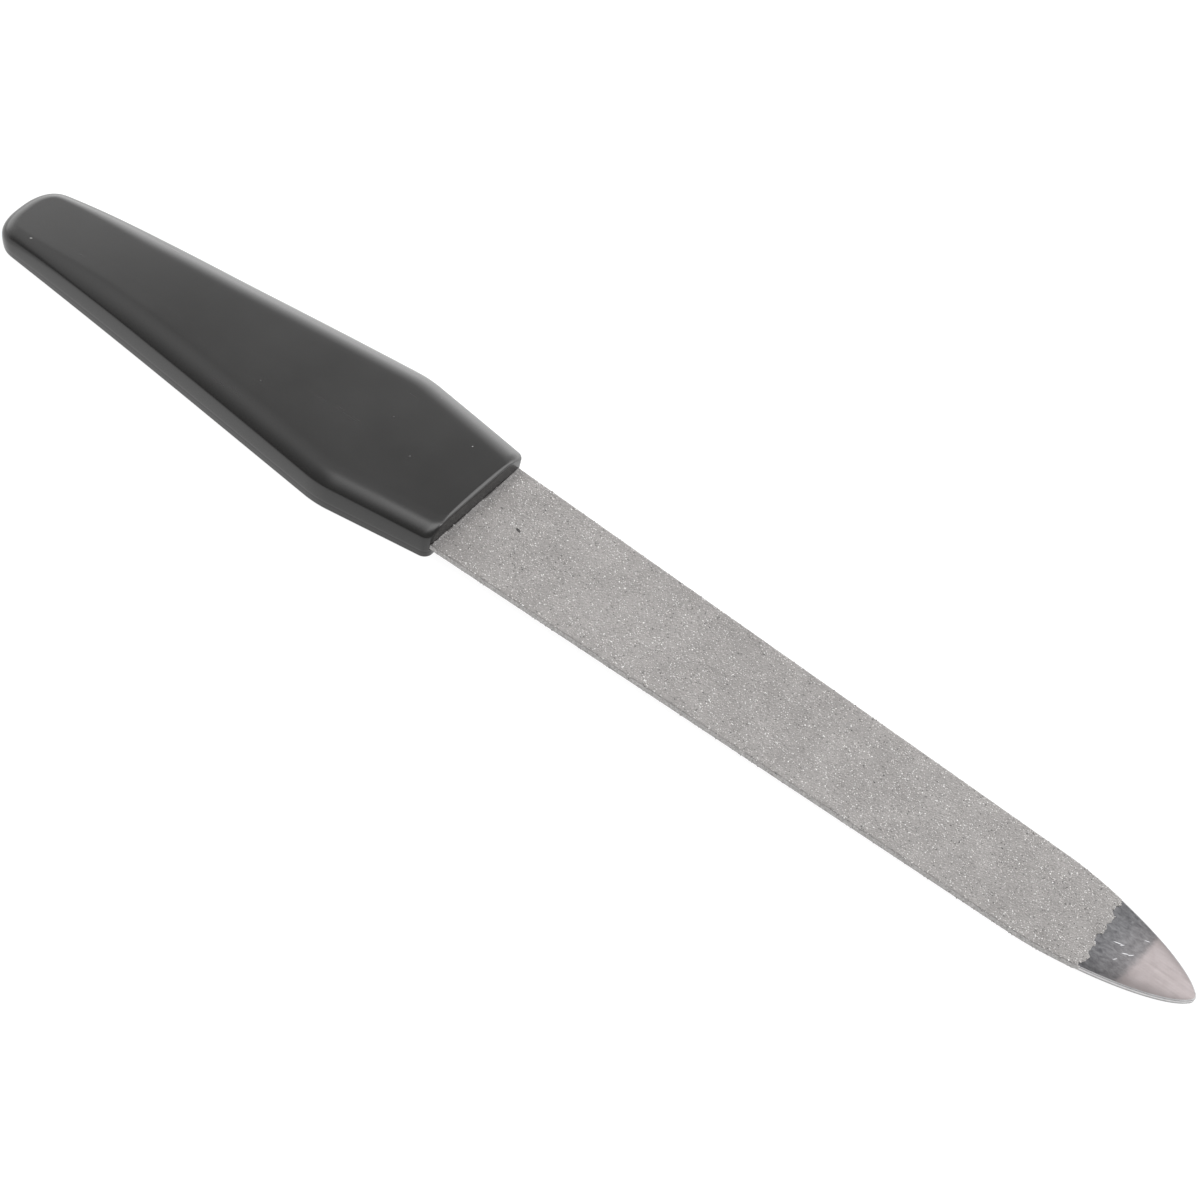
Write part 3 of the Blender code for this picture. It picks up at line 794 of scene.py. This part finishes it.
# ----------------------------------------------------------------- materials
def plastic_material():
    m = Nodes("moulded_plastic")
    m.set(IOR=1.5)
    even = m.mapping()
    cloud = m.noise(even, 90, 3, 0.55)
    fine = m.noise(even, 2600, 2, 0.6)
    # scuffs: long thin marks that only change the gloss
    scuff = m.noise(m.mapping((60, 900, 300), (0, 0, 0.35)), 1.0, 4, 0.7)
    scuff = m.span(scuff, 0.60, 0.72)
    colour = m.mix(m.span(cloud, 0.3, 0.7), (0.0112, 0.0108, 0.0105), (0.0132, 0.0128, 0.0124))
    # a few pale specks of dust on the top, and fainter marks
    dust = m.spots(DUST)
    colour = m.mix(m.math("MULTIPLY", dust, 0.9), colour, (0.24, 0.24, 0.235))
    colour = m.mix(m.math("MULTIPLY", m.spots(MARKS), 0.5), colour, (0.07, 0.07, 0.07))
    m.to(colour, "Base Color")
    rough = m.math("ADD", m.span(cloud, 0.3, 0.7, 0.20, 0.26), m.math("MULTIPLY", scuff, 0.05))
    rough = m.math("MAXIMUM", rough, m.math("MULTIPLY", dust, 0.7))
    m.to(rough, "Roughness")
    m.bump(fine, 0.000004, 0.5)
    return m.mat


# marks on the handle's top and on the blade: (x, y, length, width, turn), mm and degrees
DUST = ((-71.10, -3.75, 0.40, 0.20, 20), (-17.26, 4.48, 0.24, 0.13, 60))
MARKS = ((-39.28, -3.89, 0.30, 0.22, 0), (-25.85, 1.91, 0.28, 0.2, 30), (-21.31, -1.34, 0.35, 0.28, 80),
         (-23.80, 7.81, 0.25, 0.18, 0))
SOOT = ((-7.85, 0.37, 0.95, 0.42, -20),)
SCRATCHES = ((67.04, -1.11, 1.20, 0.12, 16), (67.5, -1.05, 0.6, 0.10, 40), (68.20, -1.75, 0.90, 0.11, 28),
             (68.75, -1.50, 0.80, 0.10, 44), (67.67, -2.99, 0.60, 0.10, 50), (69.3, 1.1, 0.7, 0.09, 20))


def steel_material():
    m = Nodes("bare_steel")
    m.set(Metallic=1.0)
    along = m.noise(m.mapping((300, 4200, 300)), 1.0, 3, 0.6)
    blotch = m.noise(m.mapping(), 520, 4, 0.62, 0.4)
    colour = m.mix(m.span(blotch, 0.35, 0.65), STEEL_LOW, STEEL_HIGH)
    # old binder darkens the steel in front of the coating, up to an uneven line
    edge = m.math("ADD", m.axis("X"), m.math("MULTIPLY", m.axis("Y"), -0.13))
    edge = m.math("ADD", edge, m.math("MULTIPLY", m.noise(m.mapping(), 900, 3, 0.6), 0.0011))
    patch = m.span(edge, 0.0698, 0.0708, 1.0, 0.0, smooth=True)
    mottle = m.noise(m.mapping((1, 1.6, 1)), 1500, 4, 0.64, 0.5)
    stain = m.mix(m.span(mottle, 0.30, 0.70), STAIN_LOW, STAIN_HIGH)
    stain = m.mix(m.span(edge, 0.0670, 0.0706, 0.0, 0.25), stain, STEEL_LOW)
    colour = m.mix(patch, colour, stain)
    colour = m.mix(m.math("MULTIPLY", m.spots(SCRATCHES), 0.8), colour, (0.42, 0.42, 0.43))
    m.to(colour, "Base Color")
    m.to(m.span(along, 0.3, 0.7, 0.30, 0.42), "Roughness")
    m.bump(along, 0.000006, 0.4)
    return m.mat


STEEL_LOW = (0.162, 0.144, 0.143)
STEEL_HIGH = (0.184, 0.165, 0.165)
STAIN_LOW = (0.048, 0.048, 0.051)
STAIN_HIGH = (0.112, 0.111, 0.115)


def sheared_material():
    m = Nodes("sheared_steel")
    m.set(Metallic=1.0)
    streak = m.noise(m.mapping((1800, 1800, 260)), 1.0, 3, 0.6)
    # a burnished band above, and the duller torn one below it
    dip = math.tan(BLADE_DIP)
    up = m.math("ADD", m.axis("Z"), m.math("MULTIPLY", m.axis("X"), dip))
    up = m.math("ADD", up, m.math("MULTIPLY", m.noise(m.mapping((900, 900, 0)), 1.0, 3, 0.6), 0.00012))
    middle = (BLADE_MID_Z + dip * (BLADE_TURN_AT - ORIGIN_X)) * MM
    torn = m.mix(m.span(streak, 0.3, 0.7), (0.30, 0.296, 0.298), (0.40, 0.396, 0.398))
    shiny = m.mix(m.span(streak, 0.3, 0.7), (0.54, 0.53, 0.535), (0.70, 0.69, 0.695))
    colour = m.mix(m.span(up, middle - 0.00006, middle + 0.00006), torn, shiny)
    m.to(colour, "Base Color")
    m.to(m.span(streak, 0.3, 0.7, 0.42, 0.58), "Roughness")
    m.bump(streak, 0.00001, 0.5)
    return m.mat


def bevel_material():
    m = Nodes("ground_bevel")
    m.set(Metallic=1.0)
    along = m.noise(m.mapping((500, 500, 3000)), 1.0, 3, 0.6)
    colour = m.mix(m.span(along, 0.3, 0.7), (0.17, 0.168, 0.17), (0.25, 0.248, 0.25))
    m.to(colour, "Base Color")
    m.to(m.span(along, 0.3, 0.7, 0.26, 0.38), "Roughness")
    m.bump(along, 0.000006, 0.4)
    return m.mat


# how dark the painted shade at the foot of the handle's face is
FOOT_SHADE = 0.38


def shade_at_foot(m):
    """1 at the foot of the handle's face, fading out along the blade: where the bed and grains are darkened as
    painted shade.
    """
    out = m.math("ADD", m.axis("X"), m.math("MULTIPLY", m.axis("Y"), -MOUTH_SKEW))
    out = m.math("ADD", out, m.math("MULTIPLY", m.noise(m.mapping(), 1300, 3, 0.6), 0.0009))
    start = (HANDLE_LENGTH - ORIGIN_X + 0.45) * MM
    return m.span(out, start, start + 1.4 * MM, 1.0, 0.0, smooth=True)


def coated_edge_material():
    m = Nodes("coated_edge")
    fleck = m.noise(m.mapping(), 4600, 2, 0.65)
    blotch = m.noise(m.mapping(), 700, 3, 0.6)
    colour = m.mix(m.span(fleck, 0.36, 0.64), (0.33, 0.318, 0.312), (0.58, 0.565, 0.555))
    colour = m.mix(m.span(blotch, 0.3, 0.7, 0.0, 0.35), colour, (0.39, 0.382, 0.377))
    m.to(colour, "Base Color")
    m.set(Roughness=0.6)
    m.bump(fleck, 0.00004, 0.7)
    return m.mat


def bed_material(name):
    m = Nodes(name)
    even = m.mapping()
    blotch = m.noise(even, 260, 4, 0.6)
    fleck = m.noise(even, 5200, 2, 0.6)
    colour = m.mix(m.span(blotch, 0.35, 0.65), BED_LOW, BED_HIGH)
    colour = m.mix(m.span(fleck, 0.35, 0.65, 0.0, 0.6), colour, BED_FLECK)
    # painted shade: the bed darkened at the foot of the handle's face
    colour = m.mix(m.math("MULTIPLY", m.span(shade_at_foot(m), 0.0, 1.0), FOOT_SHADE), colour, (0.06, 0.06, 0.062))
    colour = m.mix(m.spots(SOOT), colour, (0.02, 0.018, 0.017))
    m.to(colour, "Base Color")
    m.set(Roughness=0.62)
    m.bump(fleck, 0.00003, 0.6)
    return m.mat


BED_LOW = (0.20, 0.190, 0.184)
BED_HIGH = (0.26, 0.248, 0.241)
BED_FLECK = (0.14, 0.134, 0.130)
GRAIN_LOW = (0.19, 0.182, 0.176)
GRAIN_HIGH = (0.53, 0.507, 0.493)
# the palest grains: the grit's own lighter grains, made white and common enough to stand in for glints too (painted
# highlight)
GRAIN_PALE_GLINT = (0.64, 0.63, 0.62)
GRAIN_PALE_GLINT_FROM = 0.79


def crystal_material(name):
    m = Nodes(name)
    attribute = m.tree.nodes.new("ShaderNodeAttribute")
    attribute.attribute_name = "grain"
    tone = attribute.outputs["Fac"]
    colour = m.mix(m.span(tone, 0.0, GRAIN_PALE_GLINT_FROM), GRAIN_LOW, GRAIN_HIGH)
    # about one grain in nine near black: random tone, and also painted shade standing in for the shaded pits
    # between grains
    colour = m.mix(m.span(tone, 0.11, 0.12), (0.08, 0.077, 0.075), colour)
    # partly real pale grit, partly painted glints
    colour = m.mix(m.span(tone, GRAIN_PALE_GLINT_FROM, GRAIN_PALE_GLINT_FROM + 0.01), colour, GRAIN_PALE_GLINT)
    # painted shade: the grains darkened at the foot of the handle's face
    colour = m.mix(m.math("MULTIPLY", m.span(shade_at_foot(m), 0.0, 1.0), FOOT_SHADE), colour, (0.06, 0.06, 0.062))
    colour = m.mix(m.spots(SOOT), colour, (0.02, 0.018, 0.017))
    m.to(colour, "Base Color")
    m.to(m.span(tone, 0.0, 1.0, 0.30, 0.16), "Roughness")
    m.set(IOR=1.65)
    return m.mat


# ------------------------------------------------------------------- staging
def area(name, location, target, size, size_y, radiance, colour=(1, 1, 1), glossy=True, diffuse=True, camera=False):
    """A soft box whose face has a given radiance."""
    data = bpy.data.lights.new(name, "AREA")
    data.shape = "RECTANGLE"
    data.size, data.size_y = size, size_y
    data.energy = radiance * math.pi * size * size_y
    data.color = colour
    ob = bpy.data.objects.new(name, data)
    ob.location = location
    ob.rotation_euler = (Vector(location) - Vector(target)).to_track_quat("Z", "Y").to_euler()
    bpy.context.scene.collection.objects.link(ob)
    ob.visible_glossy = glossy
    ob.visible_diffuse = diffuse
    ob.visible_camera = camera
    return ob


def make_floor():
    """A pale table whose emission is painted light: it glows to fill in the file's shadows on it,
    and glows more beyond the file, where the back light is, so the file reflects a brighter floor there."""
    bm = bmesh.new()
    size = 6.0
    steps = 8
    grid = [[bm.verts.new((-size + 2 * size * i / steps, -size + 2 * size * k / steps, -0.00003))
             for k in range(steps + 1)] for i in range(steps + 1)]
    for i in range(steps):
        for k in range(steps):
            bm.faces.new((grid[i][k], grid[i + 1][k], grid[i + 1][k + 1], grid[i][k + 1]))
    m = Nodes("pale_floor")
    m.set(Roughness=0.9)
    m.shader.inputs["Base Color"].default_value = (0.10, 0.10, 0.10, 1)
    m.shader.inputs["Specular IOR Level"].default_value = 0.0
    m.shader.inputs["Emission Color"].default_value = (1, 1, 1, 1)
    across = m.axis("Y")
    # painted light: the glow rises in steps beyond the file
    glow = m.math("ADD", m.span(across, 0.005, 0.020, 0.0, FLOOR_STEP_1),
                  m.span(across, 0.012, 0.060, 0.0, FLOOR_STEP_2))
    m.to(m.math("ADD", glow, FLOOR_GLOW), "Emission Strength")
    floor = new_object("floor", bm, [m.mat])
    return floor


FLOOR_GLOW = 0.95
FLOOR_STEP_1 = 0.40
FLOOR_STEP_2 = 1.25

# ---------------------------------------------------------------- the camera
CAM_F = 2900.0
CAM_E, CAM_AZ, CAM_ROLL = 49.99, 21.70, 16.10
CAM_T = (-2.453, 2.795)
CAM_D = 303.20


def make_camera():
    e, az, roll = (math.radians(v) for v in (CAM_E, CAM_AZ, CAM_ROLL))
    right = Vector((math.cos(az), math.sin(az), 0))
    flat = Vector((-math.sin(az), math.cos(az), 0))
    forward = math.cos(e) * flat - math.sin(e) * Vector((0, 0, 1))
    up = math.sin(e) * flat + math.cos(e) * Vector((0, 0, 1))
    r2 = math.cos(roll) * right + math.sin(roll) * up
    u2 = -math.sin(roll) * right + math.cos(roll) * up
    centre = Vector((0, 0, BLADE_MID_Z)) - CAM_T[0] * r2 - CAM_T[1] * u2 - CAM_D * forward
    data = bpy.data.cameras.new("camera")
    data.sensor_width = 36.0
    data.lens = CAM_F / 1200 * 36
    data.clip_start = 0.01
    data.clip_end = 30
    ob = bpy.data.objects.new("camera", data)
    rotation = Matrix((r2, u2, -forward)).transposed().to_4x4()
    ob.matrix_world = Matrix.Translation(centre * MM) @ rotation
    bpy.context.scene.collection.objects.link(ob)
    bpy.context.scene.camera = ob
    return ob


class Sky:
    """The white studio surround: how bright it is in each direction."""

    def __init__(self):
        world = bpy.data.worlds.new("surround")
        bpy.context.scene.world = world
        world.use_nodes = True
        self.tree = world.node_tree
        self.out = self.tree.nodes["Background"]
        coords = self.tree.nodes.new("ShaderNodeTexCoord")
        self.direction = coords.outputs["Generated"]

    def dot(self, axis):
        node = self.tree.nodes.new("ShaderNodeVectorMath")
        node.operation = "DOT_PRODUCT"
        self.tree.links.new(self.direction, node.inputs[0])
        node.inputs[1].default_value = axis
        return node.outputs["Value"]

    def ease(self, value, low, high, to_low=0.0, to_high=1.0):
        node = self.tree.nodes.new("ShaderNodeMapRange")
        node.interpolation_type = "SMOOTHSTEP"
        for name, x in (("From Min", low), ("From Max", high), ("To Min", to_low), ("To Max", to_high)):
            node.inputs[name].default_value = x
        self.tree.links.new(value, node.inputs["Value"])
        return node.outputs["Result"]

    def steps(self, value, pairs):
        """A line through pairs of (position, level), as a sum of ramps."""
        total = pairs[0][1]
        for (x0, y0), (x1, y1) in zip(pairs, pairs[1:]):
            node = self.tree.nodes.new("ShaderNodeMapRange")
            for name, x in (("From Min", x0), ("From Max", x1), ("To Min", 0.0), ("To Max", y1 - y0)):
                node.inputs[name].default_value = x
            self.tree.links.new(value, node.inputs["Value"])
            total = self.math("ADD", node.outputs["Result"], total)
        return total

    def math(self, operation, a, b):
        node = self.tree.nodes.new("ShaderNodeMath")
        node.operation = operation
        for i, x in enumerate((a, b)):
            if isinstance(x, (int, float)):
                node.inputs[i].default_value = x
            else:
                self.tree.links.new(x, node.inputs[i])
        return node.outputs[0]


def make_lights():
    az = math.radians(CAM_AZ)
    sky = Sky()
    ahead = sky.dot((-math.sin(az), math.cos(az), 0))     # away from the camera
    right = sky.dot((math.cos(az), math.sin(az), 0))
    height = sky.dot((0, 0, 1))
    # the back light: brightest at the table's far edge, fading upwards
    back = sky.steps(height, BACK_STEPS)
    back = sky.math("MULTIPLY", back, sky.ease(ahead, 0.15, 0.6))
    back = sky.math("MULTIPLY", back, sky.ease(right, -0.55, -0.12, 0.3, 1.0))
    back = sky.math("MULTIPLY", back, sky.ease(right, 0.12, 0.21, 1.0, 0.66))
    low = sky.math("MULTIPLY", sky.ease(height, 0.55, 0.35), sky.ease(right, -0.08, -0.26))
    back = sky.math("ADD", back, sky.math("MULTIPLY", low, sky.ease(ahead, 0.15, 0.6, 0.0, 1.1)))
    # the rest of the surround, which ends overhead: the camera's side is dark
    rest = sky.steps(ahead, REST_STEPS)
    left = sky.math("MULTIPLY", sky.ease(right, -0.20, -0.45), sky.ease(ahead, -0.05, 0.20, 0.0, LEFT))
    rest = sky.math("ADD", rest, left)
    # a soft box overhead, to the right
    box = sky.math("MULTIPLY", sky.ease(ahead, -0.60, -0.32), sky.ease(ahead, 0.10, -0.12))
    box = sky.math("MULTIPLY", box, sky.ease(right, -0.36, -0.16))
    box = sky.math("MULTIPLY", box, sky.ease(right, 0.60, 0.35))
    box = sky.math("MULTIPLY", box, sky.ease(height, 0.4, 0.6, 0.0, BOX))
    # and a lower one at the right
    side = sky.ease(sky.dot((0.38 * -math.sin(az) + 0.68 * math.cos(az),
                             0.38 * math.cos(az) + 0.68 * math.sin(az), 0.63)), 0.86, 0.97, 0.0, SIDE)
    total = sky.math("ADD", sky.math("ADD", back, rest), sky.math("ADD", box, side))
    sky.tree.links.new(total, sky.out.inputs["Strength"])
    sky.out.inputs["Color"].default_value = (1, 1, 1, 1)
    # a small hard lamp that the grit glints in
    flat = Vector((-math.sin(az), math.cos(az), 0))
    across = Vector((math.cos(az), math.sin(az), 0))
    area("glint", (flat * -0.2 + across * 0.7 + Vector((0, 0, 0.69))) * 3.6, (0.03, 0, 0), 0.30, 0.30, KEY)


BACK_STEPS = ((-0.05, 2.5), (0.05, 2.8), (0.12, 2.95), (0.25, 2.6), (0.38, 2.05), (0.50, 1.52),
              (0.60, 1.15), (0.66, 0.85), (0.70, 0.50), (0.735, 0.0))
REST_STEPS = ((-0.42, 0.30), (-0.30, 0.40), (-0.16, 0.74), (-0.02, 1.12), (0.08, 1.08), (0.44, 1.00),
              (0.58, 0.76), (0.65, 0.56), (0.72, 0.52))
LEFT = 0.35
BOX = 3.6
SIDE = 3.0
KEY = 60.0


# --------------------------------------------------------------------- build
plastic = plastic_material()
steel = steel_material()
grip = make_handle(plastic)
strip = make_blade(steel, sheared_material(), coated_edge_material(), bevel_material())
bed_top = make_bed("grit_bed_top", bed_material("grit_bed"), 1, 0.4)
bed_under = make_bed("grit_bed_underside", bed_material("grit_bed_under"), -1, 1.9)
grit = crystal_material("grit_crystal")
crystals_top = make_crystals("grit_crystals_top", grit, 1, 0.4, seed=3)
crystals_under = make_crystals("grit_crystals_underside", grit, -1, 1.9, seed=8)

for ob, node, slot in (
        (grip, "handle", "handle_plastic"), (strip, "blade", "blade_steel"),
        (bed_top, "grit_coating_top", "grit_top"), (crystals_top, "grit_coating_top", "grit_top"),
        (bed_under, "grit_coating_underside", "grit_underside"),
        (crystals_under, "grit_coating_underside", "grit_underside")):
    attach(ob, "root")
    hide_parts(node)

make_floor()
make_camera()
make_lights()
bpy.context.scene.view_settings.view_transform = "Standard"
